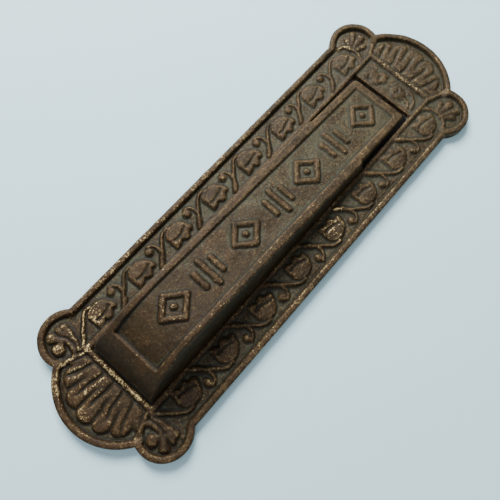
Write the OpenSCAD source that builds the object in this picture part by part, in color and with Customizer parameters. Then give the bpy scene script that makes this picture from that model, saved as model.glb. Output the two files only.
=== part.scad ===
// Vertical cast-iron letter plate with a hinged finger-grip flap.
// +Z is up the door, the decorated face looks along -Y, and Y = 0 is the door's surface.
// "Depth" below means the distance in front of the door, so a point at depth d lies at Y = -d.

/* [Face plate] */
// Width across the straight sides
plate_width = 73; // [72:0.5:75]
// Thickness of the rim, from the door to its front
rim_depth = 5; // [4.8:0.1:5.5]
// Width of the rim that runs round the outline
rim_width = 3; // [2:0.1:3.5]
// Thickness of the casting between the raised ornaments
ground_depth = 3.2; // [3:0.1:3.4]
// Depth that the ornaments reach
relief_depth = 4.6; // [4:0.1:4.8]
// How far the back is cut away behind the ornaments
back_recess = 1.2; // [0.5:0.1:1.4]
// Radius of the four corner lobes
lobe_radius = 12.7; // [12:0.1:13]
// Distance of a lobe's centre from the upright centre line
lobe_x = 27.8; // [27:0.1:28.2]
// Distance of a lobe's centre from the level centre line
lobe_z = 98.7; // [98:0.1:99.5]
// Radius of the round crest at each end
crest_radius = 28.65; // [28:0.05:29]
// Distance of a crest's centre from the level centre line
crest_z = 94.75; // [94:0.05:95.5]

/* [Opening] */
// Half width of the slot that letters pass through
slot_half = 14.8; // [14.6:0.1:15]
// Height of the slot's lower edge
slot_bottom = -88.5; // [-89:0.1:-88]
// Half width of the sunk seat that the flap's edge rests in
seat_half = 17.6; // [17.6:0.1:18]
// Height of the seat's lower edge
seat_bottom = -94.8; // [-95.2:0.1:-94.6]
// Half width of the opening beside the flap's tail
tail_opening_half = 17.2; // [16.8:0.1:17.4]
// Height of the opening's upper edge
opening_top = 86; // [85:0.1:86.4]
// Half width of the raised frame round the opening
frame_half = 20.6; // [20:0.1:20.8]
// Width of the frame's upper and lower bars
frame_bar = 3; // [2:0.1:3.2]
// Height of the upper bar's top edge
frame_top = 101.5; // [101:0.1:102]

/* [Flap] */
// Height of the flap's upper end
flap_top = 82.5; // [82:0.1:82.8]
// Height of the flap's lower end
flap_bottom = -94; // [-94.2:0.1:-93.8]
// Half width of the flap's tail, above the hinge
tail_half = 15.3; // [15:0.1:15.5]
// Half width of the flap at its base
base_half = 17.3; // [17.1:0.1:17.5]
// Half width of the flap at its deepest point
crown_half = 14.5; // [14:0.1:15]
// Depth of the flap's front at its upper end
flap_top_depth = 6; // [5.6:0.1:6.4]
// Depth of the flap's front where the nose begins
crown_depth = 25; // [24:0.5:26]
// Height at which the rounded nose begins
nose_start = -64; // [-66:1:-62]
// Wall of the flap's hollow casting
flap_wall = 2.6; // [2.2:0.1:2.8]
// Depth of the sunk field in the flap's front
field_sink = 0.9; // [0.5:0.1:1.2]
// Half width of the sunk field
field_half = 11.5; // [11:0.1:11.8]
// Gap between the flap's edge and its seat
seat_gap = 0.2; // [0.15:0.05:0.3]

/* [Hinge] */
// Height of the hinge pin
pin_z = 50; // [49.8:0.1:50.2]
// Distance of the hinge pin behind the door's surface
pin_back = 3; // [2.9:0.1:3.1]
// Diameter of the hinge pin
pin_diameter = 3; // [2.8:0.1:3.1]
// Length of the hinge pin
pin_length = 51; // [50.5:0.5:52]
// Diameter of the spring's wire
wire_diameter = 0.9; // [0.7:0.1:1]
// Turns of the spring
spring_turns = 7; // [5:1:8]

/* [Fixings] */
// Distance between the two tapped bosses
boss_spacing = 212; // [211:1:214]
// Diameter of each boss
boss_diameter = 10; // [9:0.5:11]
// How far each boss stands behind the door's surface
boss_back = 6; // [5:0.5:7]
// Core diameter of the tapped hole
tap_diameter = 5; // [4.5:0.1:5.5]
// Depth of the tapped hole
tap_depth = 8; // [6:0.5:8.5]

/* [Hidden] */
$fn = 64;
BRONZED = [0.30, 0.24, 0.18];
STEEL = [0.45, 0.43, 0.40];
over = 0.5;                                  // how far a cut or a joined solid runs past a face
pin_radius = pin_diameter / 2;
running_gap = 0.06;                          // radial gap of the flap on its pin
lug_inner = tail_opening_half;               // inner face of each plate lug
lug_outer = 21.4;                            // outer face of each plate lug
lug_radius = 3.4;                            // round end of a lug or an ear
lug_root = 2;                                // how far a lug reaches into the plate
ear_inner = 11.7;                            // inner face of each flap ear
ear_outer = 14.2;                            // outer face of each flap ear
ear_root = 5;                                // depth at which an ear joins the flap's hollow
leg_groove_width = wire_diameter + 0.5;
leg_groove_depth = wire_diameter + 0.2;
leg_y = 0.05 - leg_groove_depth + wire_diameter / 2;
leg_z = pin_z - 10.4;                        // height of the spring's lower leg
leg_end = 18.5;                              // where the lower leg ends in its groove
washer_thickness = 0.8;
washer_radius = 3;
washer_play = 0.1;                           // gap between a washer and its lug
washer_gap = 0.15;                           // radial gap between a washer and the pin
split_radius = 0.55;                         // radius of a closed split pin
split_x = lug_outer + washer_thickness + 1.2; // place of each split pin
eye_radius = 1.1;                            // middle radius of a split pin's eye
leg_spread = 28;                             // angle of a split pin's bent legs
base_depth = ground_depth + seat_gap;        // depth of the flap's edge, just off its seat
tail_depth = 1;                              // depth of the tail's back edge
shoulder_z = pin_z - 6;                      // height where the flap is at its full width
shoulder_rise = 3.5;                         // height over which it narrows to the tail
slot_step_z = pin_z - 4;                     // height where the opening widens for the flap's tail
motif_pitch = 24.05;                         // height of one length of the side border
motif_first = -87;                           // height of the lowest leaf's base
motif_count = 8;
sign_rhythm = [68, 46, 25, 5, -17, -40, -60]; // heights of the raised signs on the flap
lozenge_outer = [7.2, 8.4];                  // half width and half height of a lozenge
lozenge_inner = [4.4, 5.3];                  // the same of its opening
lozenge_pellet = 1.5;
bar_step = 5.2;                              // distance between the bars of a sign
bar_size = [15, 2.8];
short_bar = 10;
field_top = 78.5;
field_bottom = -83.2;
fan_hub = 70;                                // height of the point that a fan's petals spread from
fan_clear = 1.8;                             // channel between a fan and the rim
fan_turn = 10.9;                             // angle from one petal to the next
petal_root = 2.4;                            // half width of a petal beside the bar
petal_tip = 3.6;                             // radius of its round end
petal_length = 43;                           // from the hub to the middle of the round end
scroll_drop = 2.6;                           // a lower lobe's scroll lies this far below its centre
scroll_outer = 5.2;
scroll_inner = 3.9;
pellet = 1.8;                                // radius of a scroll's centre and of a vine's ball

// Extrudes an outline drawn in X and Z, from one depth to another.
module slab(back, front) {
    translate([0, -back, 0]) rotate([90, 0, 0]) linear_extrude(front - back) children();
}

// Extrudes an outline drawn in Y and Z along X.
module along_x(from, to) {
    translate([from, 0, 0]) rotate([90, 0, 90]) linear_extrude(to - from) children();
}

// A shape and its mirror image across the upright centre line.
module both_sides() {
    children();
    mirror([1, 0, 0]) children();
}

// ---------- face plate ----------

module outline(inset) {
    square([plate_width - 2 * inset, 2 * crest_z - 2 * inset], center = true);
    for (end = [-1, 1]) {
        translate([0, end * crest_z]) circle(crest_radius - inset);
        for (side = [-1, 1]) translate([side * lobe_x, end * lobe_z]) circle(lobe_radius - inset);
    }
}

module through_slot() {
    translate([-slot_half, slot_bottom]) square([2 * slot_half, slot_step_z + 1 - slot_bottom]);
    translate([-tail_opening_half, slot_step_z]) square([2 * tail_opening_half, opening_top - slot_step_z]);
}

module seat() {
    polygon([[-seat_half, seat_bottom], [seat_half, seat_bottom], [seat_half, pin_z],
             [tail_opening_half, pin_z + 2], [-tail_opening_half, pin_z + 2], [-seat_half, pin_z]]);
}

// The raised frame: two uprights, a bar below the flap and a bar above the small panel.
module opening_frame() {
    both_sides() translate([tail_opening_half, seat_bottom - frame_bar])
        square([frame_half - tail_opening_half, frame_top - seat_bottom + frame_bar]);
    translate([-frame_half, seat_bottom - frame_bar]) square([2 * frame_half, frame_bar]);
    translate([-frame_half, frame_top - frame_bar]) square([2 * frame_half, frame_bar]);
}

// Everything farther up or down the plate than a height.
module beyond(end, height) {
    mirror([0, end > 0 ? 0 : 1]) translate([-plate_width, height]) square([2 * plate_width, plate_width]);
}

// The arc of a lobe's edge that parts it from the crest's fan.
module lobe_arcs() {
    for (end = [-1, 1]) both_sides() intersection() {
        translate([lobe_x, end * lobe_z]) difference() {
            circle(lobe_radius - rim_width / 3);
            circle(lobe_radius - rim_width);
        }
        translate([0, end * crest_z]) circle(crest_radius - rim_width + over);
        beyond(end, lobe_z - 2);
    }
}

// Five broad petals in a crest, from the frame's bar at height start to the rim.
module fan(end, start) {
    intersection() {
        translate([0, end * crest_z]) circle(crest_radius - rim_width - fan_clear);
        difference() {
            beyond(end, start);
            both_sides() translate([lobe_x, end * lobe_z]) circle(lobe_radius);
        }
        mirror([0, end > 0 ? 0 : 1]) for (i = [-2 : 2]) translate([0, fan_hub]) rotate(i * fan_turn) {
            polygon([[-petal_root, 0], [petal_root, 0], [petal_tip, petal_length], [-petal_tip, petal_length]]);
            translate([0, petal_length]) circle(petal_tip);
        }
    }
}

// One length of the side border, measured from the flat base of its leaf.
module vine_motif() {
    polygon([[20.9, 0], [29, 0], [30.4, 3.4], [29.2, 7.6], [24, 12.4], [22.6, 9.8], [21.2, 7.4], [22, 4]]);
    polygon([[28.6, -0.5], [30.4, -0.5], [20.6, -10.6], [19.6, -9.6]]);
    translate([29, -10]) circle(pellet);
    intersection() {
        translate([26.4, -10.4]) difference() {
            circle(scroll_outer);
            circle(scroll_inner);
        }
        translate([21, -10.2]) square([12, 8]);
    }
}

module vines() {
    both_sides() for (i = [0 : motif_count - 1]) translate([0, motif_first + i * motif_pitch])
        if (i > 0) vine_motif(); else polygon([[20.9, 0], [29, 0], [30.4, 3.4], [24, 12.4], [21.2, 7.4]]);
}

module lobe_ornaments() {
    both_sides() {
        translate([lobe_x, lobe_z]) circle(lobe_radius - rim_width - fan_clear);
        translate([lobe_x, -lobe_z - scroll_drop]) {
            difference() {
                circle(scroll_outer);
                circle(scroll_inner);
            }
            circle(pellet);
        }
    }
}

module panel_leaves() {
    polygon([[-15, 88.4], [-4, 88.4], [-3, 93], [-6, 97], [-12, 97]]);
    translate([6, 92.2]) circle(4);
}

// A lug behind the plate that holds the hinge pin.
module plate_lug() {
    along_x(lug_inner, lug_outer) union() {
        translate([-lug_root, pin_z - lug_radius]) square([pin_back + lug_root, 2 * lug_radius]);
        translate([pin_back, pin_z]) circle(lug_radius);
    }
}

// The groove that the spring's lower leg lies in.
module leg_groove() {
    translate([slot_half - over, -leg_groove_depth, leg_z - leg_groove_width / 2])
        cube([frame_half - slot_half, leg_groove_depth + over, leg_groove_width]);
}

module boss(end) {
    translate([0, boss_back, end * boss_spacing / 2]) rotate([90, 0, 0])
        cylinder(d = boss_diameter, h = boss_back + lug_root);
}

module tapped_hole(end) {
    translate([0, boss_back + over, end * boss_spacing / 2]) rotate([90, 0, 0])
        cylinder(d = tap_diameter, h = tap_depth + over);
}

// The hollow behind the ornaments, which leaves a strip to bear on the door.
module hollow_back() {
    difference() {
        outline(rim_width + 1);
        translate([-frame_half, seat_bottom - frame_bar])
            square([2 * frame_half, opening_top + frame_bar - seat_bottom + frame_bar]);
    }
}

module face_plate() {
    color(BRONZED) difference() {
        union() {
            slab(0, ground_depth) outline(0);
            slab(ground_depth - over, rim_depth) difference() {
                outline(0);
                outline(rim_width);
            }
            slab(ground_depth - over, rim_depth) {
                opening_frame();
                lobe_arcs();
            }
            slab(ground_depth - over, relief_depth) {
                vines();
                fan(1, frame_top + 1);
                fan(-1, frame_bar - seat_bottom + 1);
                lobe_ornaments();
                panel_leaves();
            }
            both_sides() plate_lug();
            boss(1);
            boss(-1);
        }
        slab(-over, rim_depth + over) through_slot();
        slab(ground_depth, rim_depth + over) seat();
        difference() {
            slab(-over, back_recess) hollow_back();
            for (end = [-1, 1]) boss(end);
            both_sides() along_x(lug_inner, lug_outer)
                translate([-lug_root, pin_z - lug_radius]) square([2 * lug_root, 2 * lug_radius]);
        }
        both_sides() along_x(lug_inner - over, lug_outer + over)
            translate([pin_back, pin_z]) circle(pin_radius + 0.02);
        tapped_hole(1);
        tapped_hole(-1);
        leg_groove();
    }
}

// ---------- flap ----------

nose_steps = 14;

// Side view of the flap's front, as [y, z] points from the upper end round to the foot of the
// nose, moved in by inset.
function front_line(inset) = concat(
    [[-(flap_top_depth - inset), flap_top - inset]],
    [for (i = [0 : nose_steps]) let (a = 90 * i / nose_steps)
        [-base_depth - (crown_depth - base_depth - inset) * cos(a),
         nose_start - (nose_start - flap_bottom - inset) * sin(a)]]);

module flap_side(inset) {
    polygon(concat(front_line(inset), [[over, flap_bottom + inset], [over, flap_top - inset]]));
}

// Plan of the drafted sides, moved in by inset.
module flap_plan(inset) {
    far = crown_depth + 2;
    draft = (base_half - crown_half) / (crown_depth - base_depth);
    narrow = crown_half - draft * 2 - inset;
    wide = base_half + draft * base_depth - inset;
    polygon([[-wide, over], [wide, over], [narrow, -far], [-narrow, -far]]);
}

// Front view of the flap, with its narrower tail, moved in by inset.
module flap_front(inset) {
    base = base_half + 0.6 - inset;
    tail = tail_half - inset;
    polygon([[-base, flap_bottom + inset], [base, flap_bottom + inset], [base, shoulder_z],
             [tail, shoulder_z + shoulder_rise], [tail, flap_top - inset], [-tail, flap_top - inset],
             [-tail, shoulder_z + shoulder_rise], [-base, shoulder_z]]);
}

// The flap's outer form, or its cavity when inset is the wall.
module flap_form(inset) {
    intersection() {
        along_x(-frame_half, frame_half) flap_side(inset);
        translate([0, 0, flap_bottom - over]) linear_extrude(flap_top - flap_bottom + 1) flap_plan(inset);
        slab(-over, crown_depth + 1) flap_front(inset);
    }
}

module lozenge(half) {
    polygon([[-half.x, 0], [0, half.y], [half.x, 0], [0, -half.y]]);
}

// A pierced lozenge with a pellet at its centre.
module lozenge_sign() {
    difference() {
        lozenge(lozenge_outer);
        lozenge(lozenge_inner);
    }
    circle(lozenge_pellet);
}

// A long bar between two short ones.
module bar_sign() {
    for (step = [-1, 0, 1]) translate([0, step * bar_step])
        square([step == 0 ? bar_size.x : short_bar, bar_size.y], center = true);
}

module signs() {
    for (i = [0 : len(sign_rhythm) - 1]) translate([0, sign_rhythm[i]])
        if (i % 2 == 0) lozenge_sign(); else bar_sign();
}

module field() {
    translate([-field_half, field_bottom]) square([2 * field_half, field_top - field_bottom]);
}

module flap_ear() {
    along_x(ear_inner, ear_outer) union() {
        translate([-ear_root, pin_z - lug_radius]) square([pin_back + ear_root, 2 * lug_radius]);
        translate([pin_back, pin_z]) circle(lug_radius);
    }
}

module letter_flap() {
    color(BRONZED) difference() {
        union() {
            difference() {
                flap_form(0);
                // the wide part stops just in front of its seat
                slab(-over, base_depth) translate([-frame_half, flap_bottom - over])
                    square([2 * frame_half, shoulder_z + shoulder_rise + 2 * over - flap_bottom]);
                slab(-over, tail_depth) translate([-frame_half, shoulder_z])
                    square([2 * frame_half, flap_top + over - shoulder_z]);
                flap_form(flap_wall);
                // the sunk field
                difference() {
                    slab(0, crown_depth + 1) difference() {
                        field();
                        signs();
                    }
                    along_x(-frame_half, frame_half) flap_side(field_sink);
                }
            }
            both_sides() flap_ear();
        }
        both_sides() along_x(ear_inner - over, ear_outer + over)
            translate([pin_back, pin_z]) circle(pin_radius + running_gap);
    }
}

// ---------- hinge hardware ----------

module on_pin_axis(x) {
    translate([x, pin_back, pin_z]) rotate([0, 90, 0]) children();
}

module hinge_pin() {
    bevel = 0.4;
    color(STEEL) difference() {
        on_pin_axis(-pin_length / 2) union() {
            cylinder(r1 = pin_radius - bevel, r2 = pin_radius, h = bevel);
            translate([0, 0, bevel]) cylinder(r = pin_radius, h = pin_length - 2 * bevel);
            translate([0, 0, pin_length - bevel]) cylinder(r1 = pin_radius, r2 = pin_radius - bevel, h = bevel);
        }
        for (side = [-1, 1]) translate([side * split_x, pin_back, pin_z])
            cylinder(r = split_radius + 0.05, h = 2 * pin_diameter, center = true);
    }
}

module washer(side) {
    start = (side > 0 ? lug_outer : -lug_outer - washer_thickness) + side * washer_play;
    color(STEEL) difference() {
        on_pin_axis(start) cylinder(r = washer_radius, h = washer_thickness);
        on_pin_axis(start - over) cylinder(r = pin_radius + washer_gap, h = washer_thickness + 2 * over);
    }
}

module pin_washer_left() washer(-1);
module pin_washer_right() washer(1);

// A split pin through the hinge pin: an eye above, and two legs spread below.
module split_pin(side) {
    color(STEEL) translate([side * split_x, pin_back, pin_z]) {
        translate([0, 0, pin_radius + 1.5]) rotate([0, 90, 0])
            rotate_extrude() translate([eye_radius, 0]) circle(split_radius * 0.8);
        translate([0, 0, -pin_radius - 0.6]) cylinder(r = split_radius, h = pin_diameter + 1.3);
        for (way = [-1, 1]) translate([0, 0, -pin_radius - 0.5]) rotate([180 + way * leg_spread, 0, 0])
            cylinder(r = split_radius * 0.7, h = 2.6);
    }
}

module split_pin_left() split_pin(-1);
module split_pin_right() split_pin(1);

function unit(v) = v / norm(v);
function tangent(p, i) = unit(p[min(i + 1, len(p) - 1)] - p[max(i - 1, 0)]);
function across(v, t) = unit(v - (v * t) * t);

// A closed tube along a list of points, whose cross-section doesn't twist.
module wire(p, radius, start) {
    sides = 8;
    rings = [for (i = 0, n = across(start, tangent(p, 0)); i < len(p);
                  i = i + 1, n = i < len(p) ? across(n, tangent(p, i)) : n)
        let (b = cross(tangent(p, i), n))
            [for (k = [0 : sides - 1]) p[i] + radius * (cos(360 * k / sides) * n + sin(360 * k / sides) * b)]];
    last = len(p) - 1;
    polyhedron(
        points = [for (ring = rings) each ring],
        faces = concat(
            [[for (k = [0 : sides - 1]) k]],
            [for (i = [0 : last - 1], k = [0 : sides - 1]) let (m = (k + 1) % sides)
                [i * sides + k, (i + 1) * sides + k, (i + 1) * sides + m, i * sides + m]],
            [[for (k = [sides - 1 : -1 : 0]) last * sides + k]]));
}

coil_radius = pin_radius + 0.5 + wire_diameter;
coil_pitch = wire_diameter + 0.25;
coil_start = -spring_turns * coil_pitch / 2;
coil_end = coil_start + spring_turns * coil_pitch;
turn_steps = 18;
// Points of the coil: it starts and ends at the front of the pin.
function coil() = [for (i = [0 : turn_steps * spring_turns]) let (a = 360 * i / turn_steps)
    [coil_start + coil_pitch * i / turn_steps, pin_back - coil_radius * cos(a), pin_z - coil_radius * sin(a)]];
// The upper leg bears on the inside of the flap's tail.
upper_leg = [[coil_start - 0.3, -5.6, pin_z + 11], [coil_start - 0.2, -3.6, pin_z + 7],
             [coil_start - 0.1, -1.2, pin_z + 3]];
// The lower leg crosses to a groove in the back of the plate beside the slot.
lower_leg = [[coil_end + 0.1, pin_back - coil_radius - 0.1, pin_z - 3], [coil_end + 0.5, -0.3, pin_z - 7],
             [coil_end + 1.2, leg_y, leg_z + 1], [coil_end + 2.4, leg_y, leg_z + 0.1],
             [coil_end + 4, leg_y, leg_z], [leg_end, leg_y, leg_z]];

module flap_spring() {
    color(STEEL) wire(concat(upper_leg, coil(), lower_leg), wire_diameter / 2, [1, 0, 0]);
}

face_plate();
letter_flap();
hinge_pin();
pin_washer_left();
pin_washer_right();
split_pin_left();
split_pin_right();
flap_spring();
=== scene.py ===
"""Looks of a vertical cast-iron letter plate: two weathered castings and the hinge hardware behind them.

Lengths inside the making code are in millimetres; "depth" is the distance in front of the door, towards -Y.
"""

import math

import bmesh
import bpy
import numpy as np
from bpy.props import FloatProperty, FloatVectorProperty, IntProperty, PointerProperty
from mathutils import Matrix, Vector
from mathutils.geometry import delaunay_2d_cdt


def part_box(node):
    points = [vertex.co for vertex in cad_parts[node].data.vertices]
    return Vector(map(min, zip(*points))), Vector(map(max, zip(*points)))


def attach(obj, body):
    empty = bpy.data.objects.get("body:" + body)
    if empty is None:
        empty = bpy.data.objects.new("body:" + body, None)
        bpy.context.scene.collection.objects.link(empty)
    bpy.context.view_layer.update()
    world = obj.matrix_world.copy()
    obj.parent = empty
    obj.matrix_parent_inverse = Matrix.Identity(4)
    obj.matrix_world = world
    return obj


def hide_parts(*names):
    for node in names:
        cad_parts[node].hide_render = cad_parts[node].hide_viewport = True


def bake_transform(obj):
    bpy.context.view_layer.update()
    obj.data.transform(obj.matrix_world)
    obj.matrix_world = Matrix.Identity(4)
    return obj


bl_info = {
    "name": "Cast-iron letter plate",
    "version": (1, 0, 0),
    "blender": (4, 5, 0),
    "location": "3D View > Sidebar > Letter plate",
    "description": "Builds a weathered cast-iron letter plate round its packed frame",
    "category": "Object",
}

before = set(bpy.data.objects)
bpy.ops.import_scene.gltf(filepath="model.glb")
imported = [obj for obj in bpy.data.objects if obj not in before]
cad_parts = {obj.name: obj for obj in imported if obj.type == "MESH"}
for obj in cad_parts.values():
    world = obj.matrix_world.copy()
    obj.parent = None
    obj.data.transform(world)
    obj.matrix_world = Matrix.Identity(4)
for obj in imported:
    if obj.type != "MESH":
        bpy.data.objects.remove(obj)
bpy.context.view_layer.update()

MM = 0.001
PLATE_LOW, PLATE_HIGH = (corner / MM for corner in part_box("face_plate"))
FLAP_LOW, FLAP_HIGH = (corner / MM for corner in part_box("letter_flap"))
PIN_LOW, PIN_HIGH = (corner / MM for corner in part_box("hinge_pin"))
RIM_DEPTH = -PLATE_LOW.y
REACH_X = PLATE_HIGH.x
REACH_Z = PLATE_HIGH.z
FLAP_TOP = FLAP_HIGH.z
FLAP_BOTTOM = FLAP_LOW.z
PIN_Y = (PIN_LOW.y + PIN_HIGH.y) / 2
PIN_Z = (PIN_LOW.z + PIN_HIGH.z) / 2
PIN_RADIUS = (PIN_HIGH.z - PIN_LOW.z) / 2
WASHER_PLAY, WASHER_GAP = 0.1, 0.15
LUG_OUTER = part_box("pin_washer_right")[0].x / MM - WASHER_PLAY
LUG_ROOT, LUG_GAP = -1.0, 0.02
EAR_INNER, EAR_OUTER = 11.7, 14.2
EAR_ROOT, EAR_GAP = -5.0, 0.06
BOSS_HEIGHT = 106
SIGN_HEIGHTS = (68, 46, 25, 5, -17, -40, -60)
FOOT_BEAD = 0.45


def srgb(red, green, blue):
    """A display colour, 0 to 255 each way, as Blender's linear values."""
    shares = (v / 255 for v in (red, green, blue))
    return tuple(((v + 0.055) / 1.055) ** 2.4 if v > 10 / 255 else v / 12.92 for v in shares)


# ---------- settings ----------


def length(name, description, default):
    """A length property, given in millimetres and held in metres."""
    return FloatProperty(name=name, description=description, default=default * MM, unit="LENGTH",
                         subtype="DISTANCE", precision=5)


def colour(name, description, default):
    """A colour property, given in display values."""
    return FloatVectorProperty(name=name, description=description, default=srgb(*default), size=3,
                               min=0, max=1, subtype="COLOR")


def share(name, description, default):
    """A property that runs from 0 to 1."""
    return FloatProperty(name=name, description=description, default=default, min=0, max=1, subtype="FACTOR")


def power(name, description, default):
    """A light's power in watts."""
    return FloatProperty(name=name, description=description, default=default, min=0, unit="POWER")


class PlateSizes(bpy.types.PropertyGroup):
    """Sizes of the face plate's casting"""

    straight_half: length("Half width", "From the centre line to a straight side", 36.5)
    rim_width: length("Rim width", "Width of the rim round the outline", 3.0)
    ground: length("Ground depth", "Depth of the ground between the ornaments", 3.2)
    lobe_radius: length("Lobe radius", "Radius of each corner lobe", 12.7)
    lobe_x: length("Lobe X", "Lobe centre from the upright centre line", 27.8)
    lobe_z: length("Lobe Z", "Lobe centre from the level centre line", 98.7)
    crest_radius: length("Crest radius", "Radius of the crest at each end", 28.65)
    slot_half: length("Slot half width", "Half width of the letter slot", 14.8)
    slot_bottom: length("Slot bottom", "Height of the slot's lower edge", -88.5)
    slot_step: length("Slot step", "Height where the opening widens for the flap's tail", 46.0)
    tail_half: length("Tail opening", "Half width of the opening beside the tail", 17.2)
    opening_top: length("Opening top", "Height of the opening's upper edge", 86.0)
    seat_half: length("Seat half width", "Half width of the sunk seat round the slot", 17.6)
    seat_bottom: length("Seat bottom", "Height of the seat's lower edge", -94.8)
    frame_half: length("Frame half width", "Half width of the raised frame", 20.6)
    frame_top: length("Frame top", "Height of the frame's upper bar", 101.5)
    frame_bar: length("Frame bar", "Width of the frame's level bars", 3.0)
    motif_pitch: length("Motif pitch", "Height of one length of the side borders", 24.05)
    motif_first: length("First motif", "Height of the lowest leaf's base", -87.0)
    grid: length("Mesh step", "Spacing of the mesh on the decorated face", 0.4)
    back_hollow: length("Back hollow", "How far the back is cut away behind the ornaments", 1.2)


class FlapSizes(bpy.types.PropertyGroup):
    """Sizes of the flap's casting"""

    base_half: length("Base half width", "Half width at the flap's base", 17.3)
    crown_half: length("Crown half width", "Half width at the deepest point", 14.5)
    tail_half: length("Tail half width", "Half width above the hinge", 15.3)
    top_depth: length("Top depth", "Depth of the front at the upper end", 6.0)
    crown_depth: length("Crown depth", "Depth of the front where the nose begins", 25.0)
    nose_start: length("Nose start", "Height where the rounded nose begins", -64.0)
    base_depth: length("Base depth", "Depth of the flap's edge above its seat", 3.4)
    tail_depth: length("Tail depth", "Depth of the tail's back edge", 1.0)
    shoulder: length("Shoulder", "Height where the flap reaches full width", 44.0)
    wall: length("Wall", "Thickness of the hollow casting", 2.6)
    field_half: length("Field half width", "Half width of the sunk field", 11.5)
    field_top: length("Field top", "Height of the field's upper edge", 78.5)
    field_bottom: length("Field bottom", "Height of the field's lower edge", -83.2)
    field_sink: length("Field sink", "How far the field lies below its border", 0.9)
    foot_clear: length("Foot clearance", "How far the foot stays above the lowest allowed point", 0.6)
    corner: length("Corner radius", "Radius of the long front edges", 1.3)


class Finish(bpy.types.PropertyGroup):
    """Colours of the aged metal"""

    brown: colour("Bronze brown", "Ground colour of the bronzed iron", (52, 41, 22))
    dark: colour("Dark brown", "Darker patches of the bronzing", (40, 29, 13))
    rust: colour("Rust", "Reddish rust on the relief", (66, 44, 23))
    verdigris: colour("Grey-green", "Grey-green bloom in the hollows", (62, 67, 53))
    sand: colour("Sandy specks", "Fine paler specks all over", (101, 87, 58))
    # Pale metal that the rub map lays on wear and on painted highlight.
    worn: colour("Worn metal", "Pale metal where edges are rubbed", (200, 178, 126))
    steel: colour("Tarnished steel", "Pins and washers", (120, 112, 102))
    blued: colour("Blued steel", "Spring wire", (62, 64, 72))
    wear: share("Wear", "How much of the raised edges is rubbed bare", 0.5)


class StageLook(bpy.types.PropertyGroup):
    """The pale surface, the lights and the camera"""

    backdrop: colour("Backdrop", "Pale surface behind the plate", (187, 220, 229))
    key_power: power("Key power", "Main light from the left", 23.0)
    fill_power: power("Fill power", "Soft light from the front", 3.2)
    lens: FloatProperty(name="Lens", description="Focal length in millimetres", default=37.8,
                        min=1, unit="CAMERA")
    room: IntProperty(name="Surface size", description="Half its size, in half plate heights",
                      default=12, min=2)


# ---------- distances and profiles, all on arrays in millimetres ----------


def disc(x, z, cx, cz, radius):
    """Signed distance to a circle."""
    return np.hypot(x - cx, z - cz) - radius


def slab(x, z, cx, cz, half_x, half_z):
    """Signed distance to an upright rectangle."""
    dx = np.abs(x - cx) - half_x
    dz = np.abs(z - cz) - half_z
    return np.hypot(np.maximum(dx, 0), np.maximum(dz, 0)) + np.minimum(np.maximum(dx, dz), 0)


def to_segment(x, z, a, b):
    """How far along a segment the nearest point lies, 0 to 1, and the distance to it."""
    (ax, az), (bx, bz) = a, b
    run, rise = bx - ax, bz - az
    along = np.clip(((x - ax) * run + (z - az) * rise) / (run**2 + rise**2), 0, 1)
    return along, np.hypot(x - ax - along * run, z - az - along * rise)


def stroke(x, z, points, start, end):
    """Distance to a line through points, whose half width runs from start to end."""
    best = np.full(x.shape, 1e3)
    spans = [math.dist(a, b) for a, b in zip(points, points[1:])]
    total = sum(spans)
    gone = 0.0
    for a, b, span in zip(points, points[1:], spans):
        along, away = to_segment(x, z, a, b)
        radius = start + (end - start) * (gone + along * span) / total
        best = np.minimum(best, away - radius)
        gone += span
    return best


def patch(x, z, corners):
    """Signed distance to a closed outline, negative inside."""
    best = np.full(x.shape, 1e6)
    inside = np.zeros(x.shape, bool)
    for a, b in zip(corners, corners[1:] + corners[:1]):
        best = np.minimum(best, to_segment(x, z, a, b)[1])
        (ax, az), (bx, bz) = a, b
        if az != bz:
            inside ^= ((az > z) != (bz > z)) & (x < (bx - ax) * (z - az) / (bz - az) + ax)
    return np.where(inside, -best, best)


def arc_points(cx, cz, radius, first, last, count):
    """Points along an arc; angles in degrees, anticlockwise from +X."""
    return [(cx + radius * math.cos(math.radians(a)), cz + radius * math.sin(math.radians(a)))
            for a in np.linspace(first, last, count)]


def ease(t):
    """Smooth step from 0 to 1."""
    t = np.clip(t, 0, 1)
    return t * t * (3 - 2 * t)


def dome(distance, width):
    """Rounded rise from an edge to full height over a width."""
    t = np.clip(-distance / width, 0, 1)
    return np.sqrt(1 - (1 - t) ** 2)


def bead(t):
    """Rounded ridge across t from 0 to 1."""
    return np.sqrt(np.clip(1 - np.abs(2 * np.clip(t, 0, 1) - 1) ** 4.0, 0, 1))


def raised(high, rise, distance, width):
    """A relief with one more rounded shape laid over it."""
    return np.maximum(high, rise * dome(distance, width))


def swell(x, z, cell, seed):
    """Smooth random surface between -1 and 1, with features about a cell wide."""
    count = 64
    values = np.random.default_rng(seed).random((count, count)) * 2 - 1
    u, v = x / cell + 0.37 * seed, z / cell + 0.61 * seed
    iu, iv = np.floor(u).astype(int), np.floor(v).astype(int)
    fu, fv = ease(u - iu), ease(v - iv)
    corner = [values[(iv + b) % count, (iu + a) % count] for b in (0, 1) for a in (0, 1)]
    low = corner[0] + (corner[1] - corner[0]) * fu
    high = corner[2] + (corner[3] - corner[2]) * fu
    return low + (high - low) * fv


def cast_skin(x, z, seed):
    """Height of the rough sand-cast surface, in millimetres."""
    return (0.07 * swell(x, z, 5.0, seed) + 0.05 * swell(x, z, 2.1, seed + 1)
            + 0.045 * swell(x, z, 1.0, seed + 2) + 0.03 * swell(x, z, 0.55, seed + 3))


# ---------- mesh helpers ----------


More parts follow.
